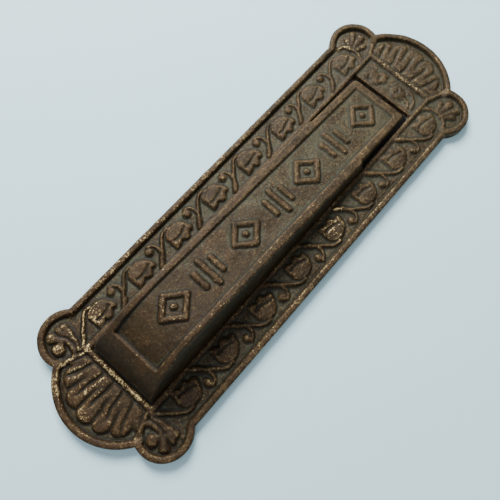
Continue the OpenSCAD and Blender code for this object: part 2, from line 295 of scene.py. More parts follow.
def new_object(name, points, faces, smooth=True):
    """A mesh object from points in millimetres."""
    mesh = bpy.data.meshes.new(name)
    mesh.from_pydata((np.asarray(points, float) * MM).tolist(), [], faces)
    mesh.validate()
    made = bpy.data.objects.new(name, mesh)
    bpy.context.scene.collection.objects.link(made)
    work = bmesh.new()
    work.from_mesh(mesh)
    bmesh.ops.remove_doubles(work, verts=work.verts, dist=0.01 * MM)
    bmesh.ops.dissolve_degenerate(work, edges=work.edges, dist=0.002 * MM)
    loose = [v for v in work.verts if not v.link_faces]
    bmesh.ops.delete(work, geom=loose, context="VERTS")
    bmesh.ops.recalc_face_normals(work, faces=work.faces)
    work.to_mesh(mesh)
    work.free()
    mesh.polygons.foreach_set("use_smooth", [smooth] * len(mesh.polygons))
    mesh.update()
    return made


def joined(name, parts):
    """One mesh from several (points, faces) shells."""
    points, faces, first = [], [], 0
    for shell_points, shell_faces in parts:
        points.append(np.asarray(shell_points, float))
        faces += [tuple(first + i for i in face) for face in shell_faces]
        first += len(shell_points)
    return new_object(name, np.concatenate(points), faces)


def zip_loops(points, a, b):
    """Triangles between two closed loops of point numbers that run the same way."""
    place = np.asarray(points, float)
    start = int(np.argmin(np.linalg.norm(place[b] - place[a[0]], axis=1)))
    b = b[start:] + b[:start]
    faces, i, j = [], 0, 0
    while i < len(a) or j < len(b):
        ia, ja = a[i % len(a)], b[j % len(b)]
        next_a, next_b = a[(i + 1) % len(a)], b[(j + 1) % len(b)]
        step_a = np.linalg.norm(place[next_a] - place[ja]) if i < len(a) else np.inf
        step_b = np.linalg.norm(place[next_b] - place[ia]) if j < len(b) else np.inf
        if step_a <= step_b:
            faces.append((ia, next_a, ja))
            i += 1
        else:
            faces.append((ia, next_b, ja))
            j += 1
    return faces


def lathe(profile, steps, origin, axis="Y"):
    """Closed shell turned from (along, radius) points about an axis through origin."""
    turn = np.linspace(0, 2 * math.pi, steps, endpoint=False)
    points = []
    for along, radius in profile:
        for t in turn:
            u, v = radius * math.cos(t), radius * math.sin(t)
            points.append({"Y": (u, along, v), "X": (along, u, v)}[axis])
    faces = []
    for ring in range(len(profile) - 1):
        for k in range(steps):
            m = (k + 1) % steps
            here, there = ring * steps, (ring + 1) * steps
            faces.append((here + k, here + m, there + m, there + k))
    return np.array(points) + np.array(origin), faces


def sweep(path, radius, sides):
    """Round tube along a path, whose cross-section doesn't twist."""
    path = np.asarray(path, float)
    count = len(path)
    ahead = np.roll(path, -1, 0) - np.roll(path, 1, 0)
    ahead[0], ahead[-1] = path[1] - path[0], path[-1] - path[-2]
    ahead /= np.linalg.norm(ahead, axis=1)[:, None]
    side = np.cross(ahead[0], (0.31, 0.83, 0.46))
    points, faces = [], []
    for centre, forward in zip(path, ahead):
        side = side - forward * (side @ forward)
        side /= np.linalg.norm(side)
        other = np.cross(forward, side)
        for k in range(sides):
            t = 2 * math.pi * k / sides
            points.append(centre + radius * (math.cos(t) * side + math.sin(t) * other))
    for here in range(0, (count - 1) * sides, sides):
        for k in range(sides):
            m = (k + 1) % sides
            faces.append((here + k, here + sides + k, here + sides + m, here + m))
    faces += [tuple(range(sides - 1, -1, -1)), tuple((count - 1) * sides + k for k in range(sides))]
    return np.array(points), faces


def resample(corners, count):
    """A closed outline with evenly spaced points."""
    ring = np.array(list(corners) + [corners[0]])
    gone = np.concatenate([[0], np.cumsum(np.linalg.norm(np.diff(ring, axis=0), axis=1))])
    at = np.linspace(0, gone[-1], count, endpoint=False)
    return np.c_[np.interp(at, gone, ring[:, 0]), np.interp(at, gone, ring[:, 1])]


def store_shares(mesh, name, values):
    """One number a point, which the finishes read by its name."""
    store = mesh.attributes.new(name, "FLOAT", "POINT")
    store.data.foreach_set("value", values.astype(np.float32))


def weather(made, fine=5, broad=40, rubbed=()):
    """Stores how proud each point is over a fine and a broad reach, and a share of pale metal: rubbed wear,
    partly painted highlight.
    """
    mesh = made.data
    count = len(mesh.vertices)
    place, normal = np.zeros((2, count * 3))
    mesh.vertices.foreach_get("co", place)
    mesh.vertex_normals.foreach_get("vector", normal)
    place, normal = place.reshape(-1, 3) / MM, normal.reshape(-1, 3)
    edge = np.zeros(len(mesh.edges) * 2, int)
    mesh.edges.foreach_get("vertices", edge)
    a, b = edge.reshape(-1, 2).T
    degree = np.bincount(a, minlength=count) + np.bincount(b, minlength=count)
    soft = place.copy()
    for turn in range(broad):
        total = np.stack([np.bincount(a, soft[b, k], count) + np.bincount(b, soft[a, k], count)
                          for k in range(3)], 1)
        soft = 0.4 * soft + 0.6 * total / np.maximum(degree, 1)[:, None]
        if turn + 1 in (fine, broad):
            proud = ((place - soft) * normal).sum(1)
            name, reach = ("edge", 0.16) if turn + 1 == fine else ("relief", 0.5)
            store_shares(mesh, name, np.clip(0.5 + 0.5 * proud / reach, 0, 1))
    rub_and_highlight = np.zeros(count)
    for x, z, reach_x, reach_z, strength in rubbed:
        away = np.hypot((place[:, 0] - x) / reach_x, (place[:, 2] - z) / reach_z)
        near = ease(1.4 - away)
        if strength < 0:
            rub_and_highlight += (strength - rub_and_highlight.clip(0, None)) * near
        else:
            rub_and_highlight = np.maximum(rub_and_highlight, strength * near)
    store_shares(mesh, "rub_and_highlight", rub_and_highlight)


# ---------- shader helper ----------


class Value:
    """A shader socket that arithmetic can be written on."""

    def __init__(self, tree, socket):
        self.tree = tree
        self.socket = socket

    def _math(self, operation, *others):
        node = self.tree.nodes.new("ShaderNodeMath")
        node.operation = operation
        for slot, term in zip(node.inputs, others):
            if isinstance(term, Value):
                self.tree.links.new(term.socket, slot)
            else:
                slot.default_value = term
        return Value(self.tree, node.outputs[0])

    def __add__(self, other):
        return self._math("ADD", self, other)

    __radd__ = __add__

    def __sub__(self, other):
        return self._math("SUBTRACT", self, other)

    def __rsub__(self, other):
        return self._math("SUBTRACT", other, self)

    def __mul__(self, other):
        return self._math("MULTIPLY", self, other)

    __rmul__ = __mul__

    def __truediv__(self, other):
        return self._math("DIVIDE", self, other)

    def clamped(self):
        node = self.tree.nodes.new("ShaderNodeClamp")
        self.tree.links.new(self.socket, node.inputs[0])
        return Value(self.tree, node.outputs[0])

    def between(self, low, high):
        """0 below low, 1 above high and smooth between them."""
        node = self.tree.nodes.new("ShaderNodeMapRange")
        node.interpolation_type = "SMOOTHSTEP"
        self.tree.links.new(self.socket, node.inputs["Value"])
        node.inputs["From Min"].default_value = low
        node.inputs["From Max"].default_value = high
        return Value(self.tree, node.outputs["Result"])


class Paint:
    """One material and its nodes."""

    def __init__(self, name):
        self.material = bpy.data.materials.new(name)
        self.material.use_nodes = True
        self.tree = self.material.node_tree
        self.tree.nodes.clear()
        self.output = self.tree.nodes.new("ShaderNodeOutputMaterial")
        self.shader = self.tree.nodes.new("ShaderNodeBsdfPrincipled")
        self.tree.links.new(self.shader.outputs[0], self.output.inputs["Surface"])
        self.place = self.node("ShaderNodeTexCoord", out="Object")

    def node(self, kind, settings=None, sockets=None, out=0):
        """Any node: its settings first, then the values or links of its sockets."""
        made = self.tree.nodes.new(kind)
        for key, value in (settings or {}).items():
            setattr(made, key, value)
        for key, value in (sockets or {}).items():
            self.feed(made.inputs[key], value)
        return Value(self.tree, made.outputs[out])

    def feed(self, slot, value):
        """Links a varying value to a socket, or sets a uniform one on it."""
        if isinstance(value, Value):
            self.tree.links.new(value.socket, slot)
        else:
            slot.default_value = value

    def noise(self, size, detail, rough, seed):
        """Noise whose features are about size millimetres wide."""
        return self.node("ShaderNodeTexNoise", {"noise_dimensions": "4D"},
                         {"Vector": self.place, "W": seed, "Scale": 1 / (size * MM),
                          "Detail": detail, "Roughness": rough})

    def attribute(self, name):
        return self.node("ShaderNodeAttribute", {"attribute_name": name}, out="Fac")

    def mix(self, amount, first, second):
        """Colours mixed by an amount."""
        made = self.tree.nodes.new("ShaderNodeMix")
        made.data_type = "RGBA"
        self.feed(next(s for s in made.inputs if s.name == "Factor" and s.type == "VALUE"), amount)
        shades = [s for s in made.inputs if s.type == "RGBA"]
        for slot, value in zip(shades, (first, second)):
            self.feed(slot, value if isinstance(value, Value) else (*value, 1))
        return Value(self.tree, next(s for s in made.outputs if s.type == "RGBA"))

    def bump(self, height, distance, strength):
        """Small unevenness, whose distance is in millimetres."""
        sockets = {"Height": height, "Distance": distance * MM, "Strength": strength}
        return self.node("ShaderNodeBump", {}, sockets, "Normal")

    def seen_from_front(self):
        """Makes the back of each face clear."""
        facing = self.node("ShaderNodeNewGeometry", out="Backfacing")
        clear = self.node("ShaderNodeBsdfTransparent")
        solid = Value(self.tree, self.shader.outputs[0])
        blend = self.node("ShaderNodeMixShader", {}, {0: facing, 1: solid, 2: clear})
        self.tree.links.new(blend.socket, self.output.inputs["Surface"])
        return self.material

    def set(self, **sockets):
        """Values or links of the Principled shader's sockets; an underscore stands for a space."""
        for key, value in sockets.items():
            self.feed(self.shader.inputs[key.replace("_", " ")], value)
        return self.material


def give(made, material, body, replaced):
    """Finishes a piece, parents it to its body's empty and hides the CAD node it stands for."""
    made.data.materials.append(material)
    if body:
        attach(made, body)
    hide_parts(replaced)


def scaled(tone, amount):
    """A colour made darker or paler."""
    return tuple(min(1, amount * c) for c in tone)


# ---------- finishes ----------


def bronzed_iron(name, look, seed, fade):
    """Bronzed cast iron: brown ground, rust, grey-green bloom, pale specks and pale rubbed metal that is
    partly painted highlight, with painted shade in creases, darker downwards.
    """
    paint = Paint(name)
    edge = paint.attribute("edge")
    relief = paint.attribute("relief")
    rub_and_highlight = paint.attribute("rub_and_highlight")
    grain = paint.noise(1.3, 5, 0.6, seed)
    speck = paint.noise(0.55, 2, 0.5, seed + 1)
    cloud = paint.noise(14, 4, 0.6, seed + 2)
    blotch = paint.noise(6, 3, 0.6, seed + 3)
    pit_and_crease_shade = scaled(look.dark, 0.3)
    height = paint.node("ShaderNodeSeparateXYZ", {}, {"Vector": paint.place}, "Z") / REACH_Z / MM
    calm = (height * 0.5 + 0.5).clamped()
    tone = paint.mix((cloud * 0.5 + grain * 0.5).between(0.4, 0.6), look.dark, look.brown)
    rusty = (relief - 0.5) * 0.5 + (blotch - 0.5) * 1.4 + (cloud - 0.5) - height * 0.12
    tone = paint.mix(rusty.between(-0.05, 0.4) * 0.5, tone, look.rust)
    bloom = (0.5 - relief) * 0.8 + (0.5 - edge) * 0.3 + (cloud - 0.5) * 1.4 + (speck - 0.5) * 0.8
    bloom = bloom + height * fade - rub_and_highlight * 0.3
    tone = paint.mix(bloom.between(-0.02, 0.35) * (0.75 - 0.25 * calm), tone, look.verdigris)
    sand = (speck - 0.5) * 1.6 + (grain - 0.5) + (edge - 0.5) * 0.35 + (blotch - 0.5) * 0.6
    sand = sand + height * fade
    tone = paint.mix(sand.between(0.08, 0.28) * (0.58 - 0.28 * calm), tone, look.sand)
    # Painted shade: near-black in fine creases and hollow edges, where shade falls, stronger towards the
    # bottom.
    tone = paint.mix((0.45 - edge).between(0.0, 0.25) * (0.9 - 0.45 * calm), tone, pit_and_crease_shade)
    # Pale metal on proud edges: rubbed wear, and, through the rub map, partly painted highlight.
    scuff = (edge - 0.5) * 0.6 + (relief - 0.5) * 0.5 + (grain - 0.5) * 1.6 + (speck - 0.5) * 2.0
    scuff = scuff + (blotch - 0.5)
    bare = (scuff + rub_and_highlight * 0.6 - (1.08 - 0.6 * look.wear)).between(0.0, 0.4)
    tone = paint.mix(bare * (0.45 + 0.4 * rub_and_highlight).clamped(), tone, look.worn)
    # Dark pits from random grain, in the same near-black tone, stronger towards the bottom.
    pitted = (speck * 0.6 + grain * 0.4).between(0.37, 0.5)
    tone = paint.mix((1 - pitted) * (0.62 - 0.52 * calm), tone, pit_and_crease_shade)
    return paint.set(
        Base_Color=tone,
        Metallic=0.2 + bare * 0.5,
        Roughness=(0.6 - bare * 0.15 + (grain - 0.5) * 0.3).clamped(),
        Normal=paint.bump(grain * 0.5 + speck * 0.5, 0.45, 0.9),
        Specular_IOR_Level=0.22,
    )


def old_steel(name, tone, look, seed):
    """Plain steel gone dull, with brown tarnish in blotches."""
    paint = Paint(name)
    blotch = paint.noise(2.2, 5, 0.65, seed)
    speck = paint.noise(0.35, 3, 0.6, seed + 1)
    edge = paint.attribute("edge")
    rusty = (blotch + 0.3 * (0.5 - edge) + 0.3 * (speck - 0.5)).between(0.48, 0.66)
    base = paint.mix(rusty * 0.7, tone, look.rust)
    base = paint.mix((edge - 0.55).between(0.0, 0.3) * 0.6, base, scaled(tone, 1.8))
    return paint.set(
        Base_Color=base,
        Metallic=0.9 - rusty * 0.6,
        Roughness=(0.36 + rusty * 0.35 + (speck - 0.5) * 0.2).clamped(),
        Normal=paint.bump(speck + blotch, 0.05, 0.5),
    )


# ---------- the face plate's shape ----------


class PlateShape:
    """The face plate's outline, openings and relief, from its sizes in millimetres."""

    def __init__(self, sizes):
        for key in PlateSizes.__annotations__:
            setattr(self, key, getattr(sizes, key) / MM)
        self.crest_z = REACH_Z - self.crest_radius

    def outline(self, x, z):
        """Signed distance to the plate's edge, negative inside."""
        x, z = np.abs(x), np.abs(z)
        return np.minimum.reduce([
            slab(x, z, 0, 0, self.straight_half, self.crest_z),
            disc(x, z, self.lobe_x, self.lobe_z, self.lobe_radius),
            disc(x, z, 0, self.crest_z, self.crest_radius),
        ])

    def opening(self, x, z):
        """Signed distance to the opening, negative in it."""
        middle = (self.slot_bottom + self.slot_step) / 2
        upper = (self.slot_step + self.opening_top) / 2
        return np.minimum(
            slab(x, z, 0, middle, self.slot_half, (self.slot_step - self.slot_bottom) / 2 + 0.01),
            slab(x, z, 0, upper, self.tail_half, (self.opening_top - self.slot_step) / 2))

    def outline_loop(self, step):
        """The outline as an anticlockwise loop, whose arcs and straights meet at the true corners."""
        side_z = self.lobe_z - math.sqrt(self.lobe_radius**2 - (self.straight_half - self.lobe_x) ** 2)
        gap = math.hypot(self.lobe_x, self.lobe_z - self.crest_z)
        reach = (self.crest_radius**2 - self.lobe_radius**2 + gap**2) / (2 * gap)
        rise = math.sqrt(self.crest_radius**2 - reach**2)
        ux, uz = self.lobe_x / gap, (self.lobe_z - self.crest_z) / gap
        meet_x, meet_z = ux * reach - uz * rise, self.crest_z + uz * reach + ux * rise

        def arc(cx, cz, radius, start, end):
            first = math.atan2(start[1] - cz, start[0] - cx)
            last = math.atan2(end[1] - cz, end[0] - cx)
            if last < first:
                last += 2 * math.pi
            count = max(2, round(radius * (last - first) / step))
            return [(cx + radius * math.cos(t), cz + radius * math.sin(t))
                    for t in np.linspace(first, last, count, endpoint=False)]

        rows = max(2, round(side_z / step))
        quarter = [(self.straight_half, z) for z in np.linspace(0, side_z, rows, endpoint=False)]
        side, meet = (self.straight_half, side_z), (meet_x, meet_z)
        quarter += arc(self.lobe_x, self.lobe_z, self.lobe_radius, side, meet)
        quarter += arc(0, self.crest_z, self.crest_radius, meet, (0, REACH_Z))
        top = quarter + [(0.0, REACH_Z)] + [(-x, z) for x, z in reversed(quarter)]
        ring = top + [(-x, -z) for x, z in top]
        return [p for i, p in enumerate(ring) if i == 0 or math.dist(p, ring[i - 1]) > 0.05][:-1]

    def opening_loop(self, step):
        """The opening as a loop."""
        corner = 2
        tail, slot = self.tail_half, self.slot_half
        corners = [(slot, self.slot_bottom), (slot, self.slot_step), (tail, self.slot_step)]
        corners += arc_points(tail - corner, self.opening_top - corner, corner, 0, 90, 7)
        ring = corners + [(-x, z) for x, z in reversed(corners)]
        out = []
        for (ax, az), (bx, bz) in zip(ring, ring[1:] + ring[:1]):
            count = max(1, round(math.dist((ax, az), (bx, bz)) / step))
            out += [(ax + (bx - ax) * k / count, az + (bz - az) * k / count) for k in range(count)]
        return out

    # -- relief: each function gives a height above the ground --

    def rim(self, edge):
        """The rim's bead, and the groove beside it."""
        inset = np.maximum(-edge, 0)
        t = inset / self.rim_width
        top = RIM_DEPTH - self.ground
        bead_high = top - 0.95 * (1 - bead(t)) * np.where(t < 0.5, 0.9, 1.0)
        groove = 0.35 * np.exp(-(((inset - self.rim_width - 0.55) / 0.35) ** 2))
        return np.where(inset < self.rim_width, bead_high, -groove)

    def frame(self, x, z):
        """The frame round the opening and the panel, low beside the vines and proud at both ends."""
        ax = np.abs(x)
        low, high = self.seat_bottom - self.frame_bar, self.frame_top
        outer = self.frame_half - 1.2 + 0.9 * ease((-z - 76) / 10)
        inner = np.where(z > self.slot_step + 5, self.tail_half, self.seat_half - 0.5)
        upright = np.abs(ax - (inner + outer) / 2) - (outer - inner) / 2
        upright = np.maximum(upright, np.maximum(low - z, z - high))
        proud = 0.75 + 0.9 * ease((np.abs(z) - 76) / 12)
        whole = proud * dome(upright, 0.7)
        for middle in (low + self.frame_bar / 2, high - self.frame_bar / 2):
            whole = raised(whole, 1.6, slab(x, z, 0, middle, outer, self.frame_bar / 2), 1.2)
        ridge = [(18.3, 98.2), (19.7, 101.8), (21.2, 105.4), (23.7, 109.8)]
        return raised(whole, 1.6, stroke(ax, np.abs(z), ridge, 1.05, 1.25), 1.0)

    def vine(self, x, z):
        """One length of the side border, repeated up both sides; the lowest length has no curl."""
        count = np.floor((z - self.motif_first + 11.6) / self.motif_pitch)
        luck = np.random.default_rng(7).random((4, 16)) - 0.5
        side = (x > 0).astype(int)
        index = np.clip(count.astype(int), 0, 7)
        u = np.abs(x) + 0.5 * luck[side, index] + 0.3 * swell(x, z, 3.2, 21)
        v = z - self.motif_first - count * self.motif_pitch
        v = v + 0.6 * luck[2 + side, index] + 0.3 * swell(x, z, 3.2, 22)
        leaf = patch(u, v, [
            (20.2, 0), (27.8, -0.4), (29.8, 1.2), (31.0, 4.0), (30.8, 7.0), (29.2, 9.8), (26.8, 11.5),
            (24.0, 12.5), (22.4, 11.6), (22.7, 9.8), (20.5, 7.9), (20.4, 6.2), (21.9, 4.5), (20.6, 2.7)])
        high = 1.3 * dome(leaf, 1.5)
        slit = stroke(u, v, [(25.6, 9.9), (24.5, 6.9), (23.8, 3.8), (24.0, 1.9)], 0.3, 0.45)
        groove = stroke(u, v, [(28.0, 9.4), (29.4, 6.6), (29.2, 3.4), (27.6, 0.9)], 0.1, 0.25)
        high -= (0.95 * ease(0.5 - slit / 0.9) + 0.45 * ease(0.5 - groove / 0.8)) * (leaf < 0)
        stem = [(31.2, 3.6), (30.9, 0.8), (29.6, -1.2), (26.4, -4.4), (23.0, -7.7), (19.8, -10.6)]
        high = raised(high, 1.4, stroke(u, v, stem, 0.6, 1.15), 1.0)
        sunk = patch(u, v, [(20.2, -0.9), (27.2, -1.3), (20.2, -8.4)])
        high -= 0.4 * ease(0.5 - sunk / 0.8)
        curl = [(19.6, -10.4), (22.2, -7.6), (25.0, -6.1), (28.0, -5.7), (30.2, -6.9), (31.0, -8.9)]
        curled = raised(high, 1.3, stroke(u, v, curl, 0.95, 0.6), 0.9)
        curled = raised(curled, 1.35, disc(u, v, 28.9, -9.5, 1.9), 1.7)
        high = np.where(count >= 1, curled, high)
        within = ease((np.abs(x) - 19.0) / 0.5) * ease((32.4 - np.abs(x)) / 0.5) * (z < 95.5) * (z > -98.5)
        return high * within

    def fan(self, x, z, end):
        """Five broad petals: slits part them near the bar, and valleys towards the rim."""
        out = end * z
        hub, turn = 70.0, 10.9
        start = (self.frame_top if end > 0 else self.frame_bar - self.seat_bottom) + 0.3
        across = np.degrees(np.arctan2(x + 0.7, out - hub)) / turn + 0.09 * swell(x, z, 4, 61 + end)
        petal = across - np.round(across)
        pitch = math.radians(turn) * np.maximum(out - hub, 1)
        tip = self.crest_radius - self.rim_width - 1.9 - 9 * petal**2
        edge = disc(x, out, 0, self.crest_z, 0) - tip
        edge = np.maximum(edge, start - out)
        edge = np.maximum(edge, np.abs(x) - (17.2 + 0.465 * (out - 98.2)))
        along = (out - start) / (REACH_Z - self.rim_width - start)
        slit = (1 - ease((along - 0.35) / 0.4)) * np.exp(-((petal * pitch / 0.65) ** 2))
        valley = ease((along - 0.15) / 0.4) * np.exp(-(((0.5 - np.abs(petal)) * pitch / 0.75) ** 2))
        return 1.4 * dome(edge, 1.9) * (1 - 0.85 * np.maximum(slit, valley)) * (out > 90)

    def lobes(self, x, z):
        """Open leaves in the upper lobes over the vine's arched ends, and curled ones in the lower lobes."""
        ax, az = np.abs(x) + 0.3 * swell(x, z, 3, 31), z + 0.3 * swell(x, z, 3, 32)
        arch = np.maximum(np.abs(disc(ax, z, 25.8, 88.7, 7.7)) - 1.0, 89.5 - z)
        arch = np.maximum(arch, ax - 33)
        high = 1.2 * dome(arch, 1.0)
        for line, start, end in (
            ([(28.4, 95.6), (33.4, 99.4)], 1.2, 1.6), ([(28.0, 96.0), (32.8, 103.4)], 1.2, 1.8),
            ([(27.0, 96.4), (28.1, 104.4)], 1.3, 2.0), ([(26.0, 96.4), (24.5, 101.6)], 1.2, 1.7),
        ):
            high = raised(high, 1.5, stroke(ax, az, line, start, end), 1.6)
        az = -az
        for line, start, end, rise in (
            ([(20.4, 101.8), (21.6, 100.4), (24.3, 99.6), (27.5, 99.9), (30.4, 101.6)], 1.2, 1.2, 1.4),
            ([(28.6, 101.2), (27.6, 103.4)], 1.5, 2.0, 1.4), ([(27.2, 104.3), (27.3, 104.5)], 2.7, 2.7, 1.8),
            ([(30.6, 101.8), (32.9, 103.2)], 1.5, 2.3, 1.5),
            ([(20.8, 98.6), (25.0, 97.2), (30.0, 97.0)], 0.8, 2.0, 1.35),
            ([(32.4, 96.3), (32.5, 96.5)], 1.9, 1.9, 1.4), ([(33.6, 98.9), (30.4, 98.9)], 1.5, 1.6, 1.25),
        ):
            high = raised(high, rise, stroke(ax, az, line, start, end), min(start, 1.6))
        return high

    def panel(self, x, z):
        """Two small leaves above the flap."""
        wx, wz = x + 0.3 * swell(x, z, 2.5, 41), z + 0.3 * swell(x, z, 2.5, 42)
        leaf = patch(wx, wz, [
            (-15.2, 88.8), (-13.8, 92.4), (-12, 95.0), (-9.6, 94.4), (-7.4, 97.2), (-3.4, 97.0),
            (-3.9, 95.0), (-2.6, 92.6), (-4.4, 90.8), (-5.4, 88.6), (-7.8, 87.6), (-9.6, 89.2), (-12, 87.8)])
        high = 1.15 * dome(leaf, 1.8)
        high = raised(high, 0.95, np.hypot((wx - 5) / 1.15, wz - 92) - 3.5, 1.8)
        for line, radius in (([(-7.4, 93.4), (-6.6, 92.0)], 0.9), ([(-12.2, 90.8), (-10.4, 88.4)], 0.7),
                             ([(3.4, 95.0), (4.6, 92.8), (4.1, 90.6)], 0.5)):
            high -= 0.6 * ease(0.5 - stroke(wx, wz, line, radius, radius) / 0.8)
        for line in ([(8.2, 96.6), (11.5, 95.8), (14.0, 93.2), (15.2, 89.6)],
                     [(8.8, 91.6), (11.6, 91.3), (13.2, 89.0)]):
            high = raised(high, 0.85, stroke(wx, wz, line, 0.6, 0.8), 0.7)
        top = self.frame_top - self.frame_bar
        return np.maximum(high, 0) * ((np.abs(x) < self.tail_half) & (z > self.opening_top) & (z < top))

    def relief_map(self):
        """The whole relief on an even grid, softened like worn castings are."""
        self.cell = 0.2
        self.corner_x, self.corner_z = -REACH_X - 1, -REACH_Z - 1
        x, z = np.meshgrid(*(corner + self.cell * np.arange(round(-2 * corner / self.cell) + 1)
                             for corner in (self.corner_x, self.corner_z)))
        rim = self.rim(self.outline(x, z))
        made = np.maximum.reduce([self.frame(x, z), self.vine(x, z), self.fan(x, z, 1), self.fan(x, z, -1),
                                  self.lobes(x, z), self.panel(x, z)])
        made *= 1 - 0.25 * ease((z + 10) / 110)
        made = np.where(rim > 0.01, np.maximum(rim, made), made + rim)
        made += 0.16 * swell(x, z, 4.5, 51)
        kernel = np.exp(-0.5 * (np.arange(-5, 6) * self.cell / 0.26) ** 2)
        kernel /= kernel.sum()
        for axis in (0, 1):
            made = sum(weight * np.roll(made, shift, axis) for shift, weight in zip(range(-5, 6), kernel))
        self.map = made

    def depth(self, x, z):
        """Depth of the decorated face."""
        u, v = (x - self.corner_x) / self.cell, (z - self.corner_z) / self.cell
        iu, iv = np.floor(u).astype(int), np.floor(v).astype(int)
        fu, fv = u - iu, v - iv
        low = self.map[iv, iu] * (1 - fu) + self.map[iv, iu + 1] * fu
        high = self.map[iv + 1, iu] * (1 - fu) + self.map[iv + 1, iu + 1] * fu
        seat = (np.abs(x) < self.seat_half) & (z > self.seat_bottom) & (z < self.slot_step + 4)
        rough = cast_skin(x, z, 3)
        return np.where(seat, self.ground + 0.3 * rough, self.ground + low * (1 - fv) + high * fv + rough)

    def back(self, x, z):
        """Depth of the back's surface: flush strips round a shallow hollow."""
        edge = self.outline(x, z)
        strip = slab(x, z, 0, (self.seat_bottom + self.opening_top) / 2, self.frame_half,
                     (self.opening_top - self.seat_bottom) / 2 + self.frame_bar)
        inside = np.minimum(-edge - self.rim_width - 1, strip)
        return self.back_hollow * ease(inside / 1.2) * (1 + 0.08 * swell(x, z, 3, 71))


def triangulated(loops, fill, keep):
    """Triangles inside loops, with fill points; gives points, triangles and each input point's number."""
    points = [p for loop in loops for p in loop]
    edges, first = [], 0
    for loop in loops:
        n = len(loop)
        edges += [(first + k, first + (k + 1) % n) for k in range(n)]
        first += n
    points += fill.tolist()
    place, _, faces, origin, _, _ = delaunay_2d_cdt([Vector(p) for p in points], edges, [], 0, 1e-7)
    place = np.array([tuple(p) for p in place])
    tri = np.array(faces)
    middle = place[tri].mean(1)
    tri = tri[keep(middle[:, 0], middle[:, 1])]
    order = np.full(len(points), -1)
    for made, source in enumerate(origin):
        if source:
            order[source[0]] = made
    return place, tri, order


def face_plate_shells(shape):
    """The plate's casting: decorated face, back and edges as one closed shell."""
    step = shape.grid
    outer = shape.outline_loop(step)
    inner = shape.opening_loop(step)
    shape.relief_map()

    def metal(x, z):
        return np.maximum(shape.outline(x, z), -shape.opening(x, z))

    def grid_points(spacing, clear):
        counts = (math.ceil(reach / spacing) for reach in (REACH_X, REACH_Z))
        x, z = (a.ravel() for a in np.meshgrid(*(np.arange(-n, n + 1) * spacing for n in counts)))
        inside = (metal(x, z) < -0.4 * spacing) & (shape.outline(x, z) < -clear)
        return np.c_[x[inside], z[inside]]

    # rows that follow the outline keep the rim's edges crisp
    ring = np.array(outer)
    along = np.roll(ring, -1, 0) - np.roll(ring, 1, 0)
    inward = np.c_[-along[:, 1], along[:, 0]] / np.linalg.norm(along, axis=1)[:, None]
    rows = []
    for inset in (0.12, 0.3, 0.6, 1.0, 1.5, 2.0, 2.4, 2.7, 2.9, 3.1, 3.3, 3.55, 3.8, 4.1):
        row = ring + inward * inset
        rows.append(row[np.abs(shape.outline(row[:, 0], row[:, 1]) + inset) < 0.02])
    fill = np.concatenate([*rows, grid_points(step, 4.5)])

    def skin(filling, depth):
        place, tri, order = triangulated([outer, inner], filling, lambda x, z: metal(x, z) < 0)
        return np.c_[place[:, 0], -depth(place[:, 0], place[:, 1]), place[:, 1]], tri, order

    front, front_tri, front_order = skin(fill, shape.depth)
    back, back_tri, back_order = skin(grid_points(2.0, 0.8), shape.back)
    points = [front, back]
    faces = front_tri.tolist() + (back_tri[:, ::-1] + len(front)).tolist()
    first = len(front) + len(back)
    start = 0
    for loop in (outer, inner):
        n = len(loop)
        near = front_order[start:start + n]
        far = back_order[start:start + n] + len(front)
        start += n
        between = []
        for part in (0.3, 0.65):
            row = front[near] * (1 - part) + back[far - len(front)] * part
            between.append(np.arange(first, first + n))
            points.append(row)
            first += n
        chain = [near, *between, far]
        for a, b in zip(chain, chain[1:]):
            faces += np.c_[a, b, np.roll(b, -1), np.roll(a, -1)].tolist()
    return np.concatenate(points), faces


def pin_carrier(x_from, x_to, root_y, bore, radius=3.4, roundness=0.25):
    """A lug or ear: a block from root_y that ends in a round eye about the hinge pin."""
    ends = arc_points(PIN_Y, PIN_Z, radius, -90, 90, 25)
    corners = [(root_y, PIN_Z - radius), *ends, (root_y, PIN_Z + radius)]
    outline = resample(corners, 72)
    hub = np.array([PIN_Y, PIN_Z])
    toward = outline - hub
    angle = np.arctan2(toward[:, 1], toward[:, 0])
    hole = hub + bore * np.c_[np.cos(angle), np.sin(angle)]
    loops = []
    for x, inset in ((x_from, roundness), (x_from + roundness, 0), (x_to - roundness, 0), (x_to, roundness)):
        pull = inset * toward / np.linalg.norm(toward, axis=1)[:, None]
        loops.append([(x, y, z) for y, z in outline - pull])
    soft = roundness * 0.6
    for x, grow in ((x_to, soft), (x_to - soft, 0), (x_from + soft, 0), (x_from, soft)):
        flare = hole + grow * (hole - hub) / bore
        loops.append([(x, y, z) for y, z in flare])
    points = np.array([p for loop in loops for p in loop])
    n, rows = len(outline), len(loops)
    faces = []
    for r in range(rows):
        s = (r + 1) % rows
        faces += [(r * n + k, r * n + (k + 1) % n, s * n + (k + 1) % n, s * n + k) for k in range(n)]
    return points, faces


def tapped_boss(z):
    """A round boss behind the plate, whose hole has rings that stand for a thread."""
    reach = 6.0
    profile = [(-2.0, 5.6), (-1.0, 5.4), (0.0, 5.05), (0.5, 5.0),
               (reach - 0.5, 4.85), (reach - 0.1, 4.6), (reach, 4.3), (reach, 3.1)]
    for k in range(7):
        y = reach - 0.3 - k
        profile += [(y, 2.95), (y - 0.5, 2.5)]
    profile += [(reach - 8, 2.5), (reach - 8, 0.02)]
    return lathe(profile, 48, (0, 0, z))


# ---------- the flap's shape ----------


